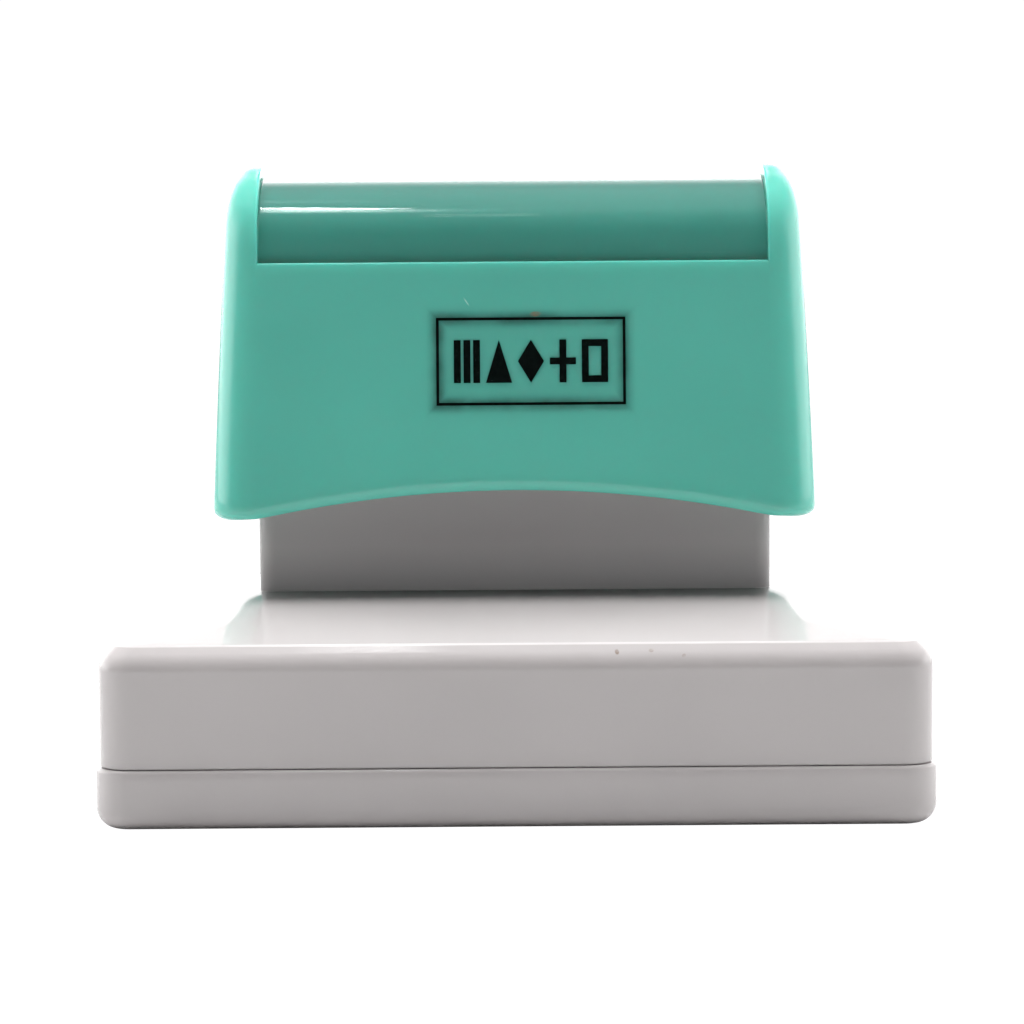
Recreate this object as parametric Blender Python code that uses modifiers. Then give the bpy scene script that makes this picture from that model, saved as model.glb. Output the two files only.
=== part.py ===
"""Pre-inked office stamp with a spring-loaded handle and a dust cap, as separate named pieces.

The stamp stands on its dust cap. X runs along the long side, -Y is the front and +Z is up, with the
origin at the centre of the cap's underside. Sizes are in millimetres and are turned into metres where
a mesh is made. Every piece is one closed solid, and neighbours keep a small gap.
"""

import math

import bmesh
import bpy
from mathutils import Matrix, Vector

MM = 0.001
CORNER_STEPS = 5
ROUND_SEGMENTS = 24
CORNERS = ((1, 1), (-1, 1), (-1, -1), (1, -1))

# Driving dimensions
PRINT_LENGTH, PRINT_DEPTH = 78.0, 53.0
BODY_LENGTH, BODY_DEPTH = PRINT_LENGTH + 10.0, PRINT_DEPTH + 10.0
BODY_CORNER = 3.2
PRESS_TRAVEL = 4.4
GAP = 0.3

# Dust cap: a tray that the frame's lip drops into
CAP_PROUD = 0.4
CAP_HEIGHT = 6.45
CAP_FLOOR = 1.2
CAP_WALL = 1.5
CAP_FILLET = 2.5
CAP_RIB_COUNT = 4
CAP_RIB_PROUD = 0.25

# Frame: box body, crowned top and the neck that the handle slides over
SEAM_Z = CAP_HEIGHT + GAP
LIP_Z = 1.6
LIP_INSET = 1.5
LIP_WALL = 1.5
SHOULDER_Z = 17.5
BODY_TOP_Z = 19.5
CROWN_RISE = 3.35
CEILING_Z = 17.3
NECK_LENGTH, NECK_DEPTH = 56.4, 20.4
NECK_TOP_Z = 46.0
NECK_WALL = 2.0
SPRING_FLOOR_Z, SPRING_FLOOR_THICKNESS = 22.5, 1.4
PASSAGE_HALF = 14.7
PARTITION = 1.2

# Handle: flared shell with a domed top
HANDLE_BOTTOM_Z = 31.0
HANDLE_DOME_Z = 60.0
HANDLE_TOP_Z = 69.6
HANDLE_CORNER = 4.5
HANDLE_RIM_FILLET = 1.2
HANDLE_WALL = 2.0
HANDLE_HALF_DEPTH, HANDLE_FLARE = 12.1, 3.3
HANDLE_HALF_LENGTH, HANDLE_TAPER = 33.05, 1.4
HANDLE_END_Z = 62.5
RIDGE_HALF_LENGTH = 27.9
ARCH_HALF_LENGTH = 29.1
ARCH_RISE, ARCH_FADE = 3.6, 11.0
CEILING_HALF_LENGTH, CEILING_HALF_DEPTH = 29.6, 8.9
CEILING_BASE_Z, HANDLE_CEILING_Z = 55.0, 65.4
SPRING_SEAT_Z = 52.0
BOSS_RADIUS = 3.4
PILOT_RADIUS, PILOT_TOP_Z = 1.7, 64.8

# Clear window in the top of the handle
WINDOW_HALF_LENGTH = 27.6
WINDOW_THICKNESS = 0.6
WINDOW_SIDE_INSET, WINDOW_TOP_INSET = 0.5, 1.2
RECESS_SIDE_INSET, RECESS_TOP_INSET = 1.4, 2.1
RECESS_HALF_LENGTH = WINDOW_HALF_LENGTH + 0.2
RECESS_BOTTOM_Z = 59.0
WINDOW_BOTTOM_Z = RECESS_BOTTOM_Z + GAP
TAB_GAP = 0.25
TAB_X = 16.0
TAB_WIDTH, TAB_DROP, TAB_THICKNESS = 6.0, 2.6, 0.45

# Springs stand in pairs in the two ends of the neck
SPRING_X = PASSAGE_HALF + PARTITION + 5.1
SPRING_Y = 4.2
SPRING_RADIUS = 2.95
WIRE_RADIUS = 0.35
SPRING_TURNS = 8
POINTS_PER_TURN = 10
SPRING_PIN_RADIUS, SPRING_PIN_TIP, SPRING_PIN_LENGTH = 2.2, 1.6, 4.2

# Plunger, mount plate, tray and foam, from the handle down to the paper
PLUNGER_HALF_X, PLUNGER_HALF_Y = 14.4, 7.9
PLUNGER_TOP_Z = 57.5
PLUNGER_TOP_PLATE = 2.0
PLUNGER_WALL = 1.8
FLANGE_HALF_X, FLANGE_HALF_Y = 22.0, 14.5
FLANGE_Z, FLANGE_TOP_Z = 16.9, 18.7
BOSS_TOP_Z = 19.9
MOUNT_HALF_X, MOUNT_HALF_Y = 38.0, 25.5
MOUNT_Z, MOUNT_TOP_Z = 14.8, 16.6
MOUNT_SCREW_X, MOUNT_SCREW_Y = 19.0, 8.0
TRAY_HALF_X, TRAY_HALF_Y = 40.5, 28.0
TRAY_WALL = 1.2
TRAY_Z, TRAY_CEILING_Z, TRAY_TOP_Z = 6.9, 13.3, 14.5
PEG_X, PEG_Y, PEG_RADIUS, PEG_TOP_Z = 30.0, 18.0, 2.0, 16.2
PRINT_FACE_Z = 6.0
PRINT_FOAM_TOP_Z = 9.6
INK_FOAM_Z, INK_FOAM_TOP_Z = 9.9, 13.0
HANDLE_SCREW_X = 8.0

# Marking film on the front of the handle
FILM_LENGTH, FILM_HEIGHT, FILM_THICKNESS = 22.6, 11.0, 0.15
FILM_X, FILM_Z = 1.9, 48.2


# Scene helpers


def clear_scene():
    for obj in list(bpy.data.objects):
        bpy.data.objects.remove(obj, do_unlink=True)


def new_collection(name, hidden=False):
    collection = bpy.data.collections.new(name)
    collection.hide_render = hidden
    bpy.context.scene.collection.children.link(collection)
    return collection


def new_material(name, color, roughness, metallic=0.0, alpha=1.0):
    material = bpy.data.materials.new(name)
    material.use_nodes = True
    shader = material.node_tree.nodes["Principled BSDF"]
    shader.inputs["Base Color"].default_value = (*color, 1.0)
    shader.inputs["Roughness"].default_value = roughness
    shader.inputs["Metallic"].default_value = metallic
    shader.inputs["Alpha"].default_value = alpha
    return material


def to_object(bm, name, collection, material=None, smooth_angle=35):
    """Ends a bmesh as a named object, shaded smooth between faces that meet at a small angle."""
    bmesh.ops.recalc_face_normals(bm, faces=bm.faces)
    mesh = bpy.data.meshes.new(name)
    bm.to_mesh(mesh)
    bm.free()
    mesh.shade_smooth()
    mesh.set_sharp_from_angle(angle=math.radians(smooth_angle))
    obj = bpy.data.objects.new(name, mesh)
    if material:
        mesh.materials.append(material)
    collection.objects.link(obj)
    return obj


def bevel(obj, width, segments=2, angle=30):
    modifier = obj.modifiers.new("edges", "BEVEL")
    modifier.width = width * MM
    modifier.segments = segments
    modifier.limit_method = "ANGLE"
    modifier.angle_limit = math.radians(angle)


# Shape helpers: they add to a bmesh, in millimetres


def add_box(bm, low, high):
    size = [b - a for a, b in zip(low, high)]
    centre = [(a + b) / 2 for a, b in zip(low, high)]
    place = Matrix.Translation(Vector(centre) * MM) @ Matrix.Diagonal((*(Vector(size) * MM), 1.0))
    bmesh.ops.create_cube(bm, size=1.0, matrix=place)


def add_cone(bm, x, y, low_z, high_z, low_radius, high_radius, segments=ROUND_SEGMENTS):
    """A standing cylinder or cone."""
    place = Matrix.Translation(Vector((x, y, (low_z + high_z) / 2)) * MM)
    bmesh.ops.create_cone(
        bm, cap_ends=True, segments=segments, radius1=low_radius * MM, radius2=high_radius * MM,
        depth=(high_z - low_z) * MM, matrix=place,
    )


def add_cylinder(bm, x, y, low_z, high_z, radius, segments=ROUND_SEGMENTS):
    add_cone(bm, x, y, low_z, high_z, radius, radius, segments)


def ring(half_x, half_y, radius, z, side_steps=1, lift=None):
    """A rounded rectangle seen from above. The sides along X have side_steps spans, and lift(x) raises
    a point by its place along X."""
    points = []
    for quarter in range(4):
        centre_x = (half_x - radius) * (1 if quarter in (0, 3) else -1)
        centre_y = (half_y - radius) * (1 if quarter < 2 else -1)
        for step in range(CORNER_STEPS + 1):
            angle = math.radians(90 * (quarter + step / CORNER_STEPS))
            points.append((centre_x + radius * math.cos(angle), centre_y + radius * math.sin(angle)))
        if quarter in (0, 2):
            for step in range(1, side_steps):
                points.append((centre_x * (1 - 2 * step / side_steps), points[-1][1]))
    return [(x, y, z + (lift(x) if lift else 0.0)) for x, y in points]


def skin(rings, closed=False):
    """A bmesh through rings with equal counts of points. Its ends are capped unless it closes on itself."""
    bm = bmesh.new()
    rows = [[bm.verts.new(Vector(point) * MM) for point in points] for points in rings]
    followers = rows[1:] + (rows[:1] if closed else [])
    for row, following in zip(rows, followers):
        for i in range(len(row)):
            j = (i + 1) % len(row)
            bm.faces.new((row[i], row[j], following[j], following[i]))
    if not closed:
        bm.faces.new(rows[0])
        bm.faces.new(rows[-1])
    return bm


def prism(outline, low_x, high_x):
    """An outline of (y, z) points, pulled along X."""
    bm = bmesh.new()
    face = bm.faces.new([bm.verts.new(Vector((low_x, y, z)) * MM) for y, z in outline])
    pulled = bmesh.ops.extrude_face_region(bm, geom=[face])
    moved = [item for item in pulled["geom"] if isinstance(item, bmesh.types.BMVert)]
    bmesh.ops.translate(bm, verts=moved, vec=(Vector((high_x - low_x, 0, 0)) * MM))
    return bm


def boolean(obj, operation, bm, name, cutters):
    """Joins a tool to obj or cuts it away. The tool stays in the cutters' collection."""
    tool = to_object(bm, name, cutters)
    tool.hide_render = True
    tool.display_type = "WIRE"
    modifier = obj.modifiers.new(name, "BOOLEAN")
    modifier.operation = operation
    modifier.object = tool


# Profiles of the handle


def dome(z, half, base_z, rise):
    """Half of the depth at height z of a rounded top that starts at base_z with that half depth."""
    share = min(max((z - base_z) / rise, 0.0), 1.0)
    return half * math.sqrt(max(1 - share**2.2, 0.0))


def handle_half_depth(z):
    flare = HANDLE_FLARE * max((HANDLE_DOME_Z - z) / (HANDLE_DOME_Z - HANDLE_BOTTOM_Z), 0.0) ** 1.25
    return flare + dome(z, HANDLE_HALF_DEPTH, HANDLE_DOME_Z, HANDLE_TOP_Z - HANDLE_DOME_Z)


def handle_half_length(z):
    if z < HANDLE_END_Z:
        share = max(z - HANDLE_BOTTOM_Z, 0.0) / (HANDLE_END_Z - HANDLE_BOTTOM_Z)
        return HANDLE_HALF_LENGTH - HANDLE_TAPER * share**1.2
    share = min((z - HANDLE_END_Z) / (HANDLE_TOP_Z - HANDLE_END_Z), 1.0)
    rounding = HANDLE_HALF_LENGTH - HANDLE_TAPER - RIDGE_HALF_LENGTH
    return RIDGE_HALF_LENGTH + rounding * (1 - share**2) ** (1 / 3)


def dome_levels(base_z, rise, steps):
    """Heights that step evenly round the dome, short of its very top."""
    return [base_z + rise * math.sin(math.radians(86 * i / steps)) for i in range(1, steps + 1)]


def arch(z):
    """How far the lower edge's arch lifts a point at height z, by its place along X."""
    fade = max(1 - (z - HANDLE_BOTTOM_Z) / ARCH_FADE, 0.0)
    return lambda x: ARCH_RISE * fade * max(1 - (x / ARCH_HALF_LENGTH) ** 2, 0.0)


def window_outline(half, rise, bottom_z, steps=14):
    """One side of the window as (y, z) points over the top, from the front edge to the back edge."""
    start = handle_half_depth(bottom_z) - handle_half_depth(HANDLE_DOME_Z) + half
    levels = [HANDLE_DOME_Z] + dome_levels(HANDLE_DOME_Z, rise, steps)
    front = [(-start, bottom_z)] + [(-dome(z, half, HANDLE_DOME_Z, rise), z) for z in levels]
    return front + [(0.0, HANDLE_DOME_Z + rise)] + [(-y, z) for y, z in reversed(front)]


# Pieces


def make_dust_cap(parts, cutters, material):
    half_x, half_y = BODY_LENGTH / 2 + CAP_PROUD, BODY_DEPTH / 2 + CAP_PROUD
    corner = BODY_CORNER + CAP_PROUD
    rings = []
    for angle in (0, 22.5, 45, 67.5, 90):
        inset = CAP_FILLET * (1 - math.sin(math.radians(angle)))
        z = CAP_FILLET * (1 - math.cos(math.radians(angle)))
        rings.append(ring(half_x - inset, half_y - inset, corner - inset, z))
    rings.append(ring(half_x, half_y, corner, CAP_HEIGHT - 0.3))
    rings.append(ring(half_x - 0.3, half_y - 0.3, corner - 0.3, CAP_HEIGHT))
    inner_x, inner_y, inner_corner = half_x - CAP_WALL, half_y - CAP_WALL, corner - CAP_WALL
    rings.append(ring(inner_x, inner_y, inner_corner, CAP_HEIGHT))
    rings.append(ring(inner_x, inner_y, inner_corner, CAP_FLOOR + 0.8))
    rings.append(ring(inner_x - 0.8, inner_y - 0.8, inner_corner - 0.8, CAP_FLOOR))
    cap = to_object(skin(rings), "dust_cap", parts, material)
    ribs = bmesh.new()
    for i in range(CAP_RIB_COUNT):
        x = (i - (CAP_RIB_COUNT - 1) / 2) * 20.0
        for side in (-1, 1):
            low = min(side * (inner_y + 0.5), side * (inner_y - CAP_RIB_PROUD))
            add_box(ribs, (x - 0.5, low, 2.6), (x + 0.5, low + 0.5 + CAP_RIB_PROUD, 5.6))
    boolean(cap, "UNION", ribs, "cap_grip_ribs", cutters)
    return cap


def frame_rings():
    """The frame's section, from the lip over the body and neck and back down inside, as rings."""
    half_x, half_y = BODY_LENGTH / 2, BODY_DEPTH / 2
    neck_x, neck_y, neck_corner = NECK_LENGTH / 2, NECK_DEPTH / 2, 2.0
    lip_x, lip_y = half_x - LIP_INSET, half_y - LIP_INSET
    rings = [
        ring(lip_x, lip_y, 1.7, LIP_Z),
        ring(lip_x, lip_y, 1.7, SEAM_Z),
        ring(half_x - 0.3, half_y - 0.3, BODY_CORNER - 0.3, SEAM_Z),
        ring(half_x, half_y, BODY_CORNER, SEAM_Z + 0.3),
    ]
    edge = BODY_TOP_Z - SHOULDER_Z
    for angle in (0, 25, 50, 75):
        inset = edge * (1 - math.cos(math.radians(angle)))
        z = SHOULDER_Z + edge * math.sin(math.radians(angle))
        rings.append(ring(half_x - inset, half_y - inset, BODY_CORNER - inset * 0.4, z))
    steps = 6
    for i in range(steps):
        share = i / steps
        x = half_x - edge + (neck_x - half_x + edge) * share
        y = half_y - edge + (neck_y - half_y + edge) * share
        corner = 2.4 + 6.0 * math.sin(math.pi * share)
        z = BODY_TOP_Z + CROWN_RISE * (1 - (1 - share) ** 1.15)
        rings.append(ring(x, y, corner, z))
    rings += [
        ring(neck_x, neck_y, neck_corner, BODY_TOP_Z + CROWN_RISE),
        ring(neck_x, neck_y, neck_corner, NECK_TOP_Z - 0.4),
        ring(neck_x - 0.4, neck_y - 0.4, neck_corner - 0.4, NECK_TOP_Z),
        ring(neck_x - NECK_WALL, neck_y - NECK_WALL, 0.8, NECK_TOP_Z),
        ring(neck_x - NECK_WALL, neck_y - NECK_WALL, 0.8, CEILING_Z + CROWN_RISE),
    ]
    inner_x, inner_y = lip_x - LIP_WALL, lip_y - LIP_WALL
    rings.append(ring(inner_x, inner_y, 1.0, CEILING_Z))
    rings.append(ring(inner_x, inner_y, 1.0, LIP_Z))
    return rings


def make_base_frame(parts, cutters, material):
    frame = to_object(skin(frame_rings(), closed=True), "base_frame", parts, material)
    wall_y = NECK_DEPTH / 2 - NECK_WALL + 0.6
    end_x = NECK_LENGTH / 2 - NECK_WALL + 0.6
    for side, name in ((-1, "left"), (1, "right")):
        inner, outer = side * PASSAGE_HALF, side * (PASSAGE_HALF + PARTITION)
        wall = bmesh.new()
        low = (min(inner, outer), -wall_y, FLANGE_TOP_Z + GAP)
        add_box(wall, low, (max(inner, outer), wall_y, NECK_TOP_Z - 1.0))
        boolean(frame, "UNION", wall, f"partition_{name}", cutters)
        floor = bmesh.new()
        near, far = side * (PASSAGE_HALF + 0.4), side * end_x
        low = (min(near, far), -wall_y, SPRING_FLOOR_Z - SPRING_FLOOR_THICKNESS)
        add_box(floor, low, (max(near, far), wall_y, SPRING_FLOOR_Z))
        boolean(frame, "UNION", floor, f"spring_floor_{name}", cutters)
    pins = bmesh.new()
    for sign_x, sign_y in CORNERS:
        x, y = sign_x * SPRING_X, sign_y * SPRING_Y
        top_z = SPRING_FLOOR_Z + SPRING_PIN_LENGTH
        add_cone(pins, x, y, SPRING_FLOOR_Z - 0.6, top_z, SPRING_PIN_RADIUS, SPRING_PIN_TIP, 16)
    boolean(frame, "UNION", pins, "spring_pins", cutters)
    return frame


def spring_points(low_z, high_z):
    """A compression spring's centreline, with a nearly closed turn at each end."""
    end_pitch = 2.4 * WIRE_RADIUS
    middle = (high_z - low_z - 2 * end_pitch) / (SPRING_TURNS - 2)
    points = []
    for i in range(SPRING_TURNS * POINTS_PER_TURN + 1):
        turn = i / POINTS_PER_TURN
        z = low_z + end_pitch * min(turn, 1.0)
        z += middle * min(max(turn - 1.0, 0.0), SPRING_TURNS - 2)
        z += end_pitch * max(turn - (SPRING_TURNS - 1), 0.0)
        angle = 2 * math.pi * turn
        points.append((SPRING_RADIUS * math.cos(angle), SPRING_RADIUS * math.sin(angle), z))
    return points


def make_spring(name, x, y, parts, material):
    low_z = SPRING_FLOOR_Z + WIRE_RADIUS + 0.05
    high_z = SPRING_SEAT_Z - WIRE_RADIUS - 0.05
    points = spring_points(low_z - SPRING_FLOOR_Z, high_z - SPRING_FLOOR_Z)
    curve = bpy.data.curves.new(name, "CURVE")
    curve.dimensions = "3D"
    curve.bevel_depth = WIRE_RADIUS * MM
    curve.bevel_resolution = 1
    curve.use_fill_caps = True
    spline = curve.splines.new("POLY")
    spline.points.add(len(points) - 1)
    for point, place in zip(spline.points, points):
        point.co = (*(Vector(place) * MM), 1.0)
    curve.materials.append(material)
    spring = bpy.data.objects.new(name, curve)
    spring.location = Vector((x, y, SPRING_FLOOR_Z)) * MM
    parts.objects.link(spring)
    return spring


def handle_rings():
    """The shell's section, from the outside of the ridge down to the rim and up inside to the ceiling."""
    steps = 14

    def level(z, inset_x=0.0, inset_y=0.0, shift=0.0):
        half_x, half_y = handle_half_length(z) - inset_x, max(handle_half_depth(z) - inset_y, 0.6)
        corner = max(min(HANDLE_CORNER - max(inset_x, inset_y) * 0.8, half_y * 0.8), 0.4)
        return ring(half_x, half_y, corner, z + shift, steps, arch(z))

    outside = [HANDLE_BOTTOM_Z + HANDLE_RIM_FILLET, 36.0, 41.0, 46.0, 51.0, 56.0, HANDLE_DOME_Z]
    outside += dome_levels(HANDLE_DOME_Z, HANDLE_TOP_Z - HANDLE_DOME_Z, 7)
    rings = [level(z) for z in reversed(outside)]
    for angle in (30, 60, 90):
        inset = HANDLE_RIM_FILLET * (1 - math.cos(math.radians(angle)))
        drop = HANDLE_RIM_FILLET * math.sin(math.radians(angle))
        rings.append(level(HANDLE_BOTTOM_Z + HANDLE_RIM_FILLET, inset, inset, -drop))
    rings.append(level(HANDLE_BOTTOM_Z + HANDLE_RIM_FILLET, 1.7, 1.7, -HANDLE_RIM_FILLET))
    rings.append(level(HANDLE_BOTTOM_Z + HANDLE_RIM_FILLET, HANDLE_WALL, HANDLE_WALL, -0.9))
    for z in (36.0, 41.0, 46.0, 51.5):
        rings.append(level(z, HANDLE_WALL, HANDLE_WALL))
    rise = HANDLE_CEILING_Z - CEILING_BASE_Z
    for z in [CEILING_BASE_Z] + dome_levels(CEILING_BASE_Z, rise, 5):
        half_y = max(dome(z, CEILING_HALF_DEPTH, CEILING_BASE_Z, rise), 0.6)
        half_x = CEILING_HALF_LENGTH - 3.0 + dome(z, 3.0, CEILING_BASE_Z, rise)
        rings.append(ring(half_x, half_y, min(2.0, half_y * 0.8), z, steps))
    return rings


def make_handle_shell(parts, cutters, material):
    shell = to_object(skin(handle_rings()), "handle_shell", parts, material)
    bosses = bmesh.new()
    boss_top = HANDLE_CEILING_Z + 0.5
    for side in (-1, 1):
        add_cylinder(bosses, side * HANDLE_SCREW_X, 0, PLUNGER_TOP_Z + GAP, boss_top, BOSS_RADIUS)
    for sign_x, sign_y in CORNERS:
        add_cylinder(bosses, sign_x * SPRING_X, sign_y * SPRING_Y, SPRING_SEAT_Z, boss_top, BOSS_RADIUS, 20)
    boolean(shell, "UNION", bosses, "handle_bosses", cutters)
    pins = bmesh.new()
    for sign_x, sign_y in CORNERS:
        x, y = sign_x * SPRING_X, sign_y * SPRING_Y
        low_z = SPRING_SEAT_Z - SPRING_PIN_LENGTH
        add_cone(pins, x, y, low_z, SPRING_SEAT_Z + 0.6, SPRING_PIN_TIP, SPRING_PIN_RADIUS, 16)
    boolean(shell, "UNION", pins, "seat_pins", cutters)

    rise = HANDLE_TOP_Z - HANDLE_DOME_Z - RECESS_TOP_INSET
    floor = window_outline(HANDLE_HALF_DEPTH - RECESS_SIDE_INSET, rise, RECESS_BOTTOM_Z)
    far_y, far_z = HANDLE_HALF_DEPTH + 8.0, HANDLE_TOP_Z + 5.0
    around = [(far_y, RECESS_BOTTOM_Z), (far_y, far_z), (-far_y, far_z), (-far_y, RECESS_BOTTOM_Z)]
    recess = prism(floor + around, -RECESS_HALF_LENGTH, RECESS_HALF_LENGTH)
    boolean(shell, "DIFFERENCE", recess, "window_recess", cutters)

    holes = bmesh.new()
    for side in (-1, 1):
        x = side * HANDLE_SCREW_X
        add_cylinder(holes, x, 0, PLUNGER_TOP_Z - 1.0, PILOT_TOP_Z, PILOT_RADIUS, 16)
    boolean(shell, "DIFFERENCE", holes, "screw_pilots", cutters)
    slots = bmesh.new()
    for low, high in tab_boxes(TAB_GAP):
        add_box(slots, low, high)
    boolean(shell, "DIFFERENCE", slots, "tab_slots", cutters)
    return shell


def tab_boxes(clearance=0.0):
    """Corners of the window's four tabs, or of the slots they drop into."""
    outer = handle_half_depth(WINDOW_BOTTOM_Z) - WINDOW_SIDE_INSET - 0.1
    boxes = []
    for sign_x, sign_y in CORNERS:
        x = sign_x * TAB_X
        near, far = sign_y * (outer - TAB_THICKNESS - clearance), sign_y * (outer + clearance)
        low = (x - TAB_WIDTH / 2 - clearance, min(near, far), WINDOW_BOTTOM_Z - TAB_DROP - clearance)
        high = (x + TAB_WIDTH / 2 + clearance, max(near, far), WINDOW_BOTTOM_Z + 0.5)
        boxes.append((low, high))
    return boxes


def make_label_window(parts, cutters, material):
    half = HANDLE_HALF_DEPTH - WINDOW_SIDE_INSET
    rise = HANDLE_TOP_Z - HANDLE_DOME_Z - WINDOW_TOP_INSET
    outer = window_outline(half, rise, WINDOW_BOTTOM_Z)
    inner = window_outline(half - WINDOW_THICKNESS, rise - WINDOW_THICKNESS, WINDOW_BOTTOM_Z)
    sheet = prism(outer + inner[::-1], -WINDOW_HALF_LENGTH, WINDOW_HALF_LENGTH)
    window = to_object(sheet, "label_window", parts, material)
    tabs = bmesh.new()
    for low, high in tab_boxes():
        add_box(tabs, low, high)
    boolean(window, "UNION", tabs, "window_tabs", cutters)
    return window


def make_marking_film(parts, material):
    bm = bmesh.new()
    add_box(bm, (-FILM_LENGTH / 2, -FILM_THICKNESS, -FILM_HEIGHT / 2), (FILM_LENGTH / 2, 0, FILM_HEIGHT / 2))
    film = to_object(bm, "marking_film", parts, material)
    rise = 1.0
    slope = (handle_half_depth(FILM_Z - rise) - handle_half_depth(FILM_Z + rise)) / (2 * rise)
    film.rotation_euler = (-math.atan(slope), 0, 0)
    film.location = Vector((FILM_X, -handle_half_depth(FILM_Z) - 0.15, FILM_Z)) * MM
    return film


def make_plunger(parts, cutters, material):
    inner_x, inner_y = PLUNGER_HALF_X - PLUNGER_WALL, PLUNGER_HALF_Y - PLUNGER_WALL
    rings = [
        ring(PLUNGER_HALF_X, PLUNGER_HALF_Y, 1.2, PLUNGER_TOP_Z),
        ring(PLUNGER_HALF_X, PLUNGER_HALF_Y, 1.2, FLANGE_TOP_Z),
        ring(FLANGE_HALF_X, FLANGE_HALF_Y, 2.0, FLANGE_TOP_Z),
        ring(FLANGE_HALF_X, FLANGE_HALF_Y, 2.0, FLANGE_Z),
        ring(inner_x, inner_y, 0.6, FLANGE_Z),
        ring(inner_x, inner_y, 0.6, PLUNGER_TOP_Z - PLUNGER_TOP_PLATE),
    ]
    plunger = to_object(skin(rings), "plunger_core", parts, material)
    bosses = bmesh.new()
    for sign_x, sign_y in CORNERS:
        x, y = sign_x * MOUNT_SCREW_X, sign_y * MOUNT_SCREW_Y
        add_cylinder(bosses, x, y, FLANGE_TOP_Z - 0.6, BOSS_TOP_Z, 2.6)
    boolean(plunger, "UNION", bosses, "flange_bosses", cutters)
    holes = bmesh.new()
    for side in (-1, 1):
        x = side * HANDLE_SCREW_X
        add_cylinder(holes, x, 0, PLUNGER_TOP_Z - PLUNGER_TOP_PLATE - 1, PLUNGER_TOP_Z + 1, 1.8, 16)
    for sign_x, sign_y in CORNERS:
        x, y = sign_x * MOUNT_SCREW_X, sign_y * MOUNT_SCREW_Y
        add_cylinder(holes, x, y, FLANGE_Z - 1, BOSS_TOP_Z + 1, 1.3, 16)
    boolean(plunger, "DIFFERENCE", holes, "plunger_screw_holes", cutters)
    return plunger


def make_mount_plate(parts, cutters, material):
    rings = [ring(MOUNT_HALF_X, MOUNT_HALF_Y, 2.0, z) for z in (MOUNT_Z, MOUNT_TOP_Z)]
    plate = to_object(skin(rings), "mount_plate", parts, material)
    holes = bmesh.new()
    for sign_x, sign_y in CORNERS:
        x, y = sign_x * MOUNT_SCREW_X, sign_y * MOUNT_SCREW_Y
        add_cylinder(holes, x, y, MOUNT_Z - 1, MOUNT_TOP_Z + 1, 1.5, 16)
        add_cylinder(holes, sign_x * PEG_X, sign_y * PEG_Y, MOUNT_Z - 1, MOUNT_TOP_Z + 1, PEG_RADIUS + GAP)
    for side in (-1, 1):
        add_cylinder(holes, side * HANDLE_SCREW_X, 0, MOUNT_Z - 1, MOUNT_TOP_Z + 1, 3.4)
    boolean(plate, "DIFFERENCE", holes, "plate_holes", cutters)
    sinks = bmesh.new()
    for sign_x, sign_y in CORNERS:
        add_cone(sinks, sign_x * MOUNT_SCREW_X, sign_y * MOUNT_SCREW_Y, MOUNT_Z - 0.4, 16.1, 3.3, 1.5, 20)
    boolean(plate, "DIFFERENCE", sinks, "screw_sinks", cutters)
    return plate


def make_pad_tray(parts, cutters, material):
    inner_x, inner_y = TRAY_HALF_X - TRAY_WALL, TRAY_HALF_Y - TRAY_WALL
    rings = [
        ring(TRAY_HALF_X, TRAY_HALF_Y, 1.5, TRAY_TOP_Z),
        ring(TRAY_HALF_X, TRAY_HALF_Y, 1.5, TRAY_Z),
        ring(inner_x, inner_y, 0.4, TRAY_Z),
        ring(inner_x, inner_y, 0.4, TRAY_CEILING_Z),
    ]
    tray = to_object(skin(rings), "pad_tray", parts, material)
    pegs = bmesh.new()
    for sign_x, sign_y in CORNERS:
        add_cylinder(pegs, sign_x * PEG_X, sign_y * PEG_Y, TRAY_TOP_Z - 0.6, PEG_TOP_Z, PEG_RADIUS)
    boolean(tray, "UNION", pegs, "tray_pegs", cutters)
    return tray


def make_foam(name, low_z, high_z, parts, material):
    bm = bmesh.new()
    half_x, half_y = PRINT_LENGTH / 2, PRINT_DEPTH / 2
    add_box(bm, (-half_x, -half_y, low_z), (half_x, half_y, high_z))
    foam = to_object(bm, name, parts, material)
    bevel(foam, 0.3)
    return foam


def make_screw(name, x, y, sections, head_z, reach, parts, cutters, material):
    """A screw as one skin through round sections (z, radius), with a cross recess in its lower face."""
    rings = []
    for z, radius in sections:
        turn = [2 * math.pi * i / 20 for i in range(20)]
        rings.append([(x + radius * math.cos(a), y + radius * math.sin(a), z) for a in turn])
    screw = to_object(skin(rings), name, parts, material)
    for index, (reach_x, reach_y) in enumerate(((reach, 0.35), (0.35, reach))):
        slot = bmesh.new()
        add_box(slot, (x - reach_x, y - reach_y, head_z - 0.5), (x + reach_x, y + reach_y, head_z + 0.8))
        boolean(screw, "DIFFERENCE", slot, f"{name}_recess_{index}", cutters)
    return screw


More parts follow.
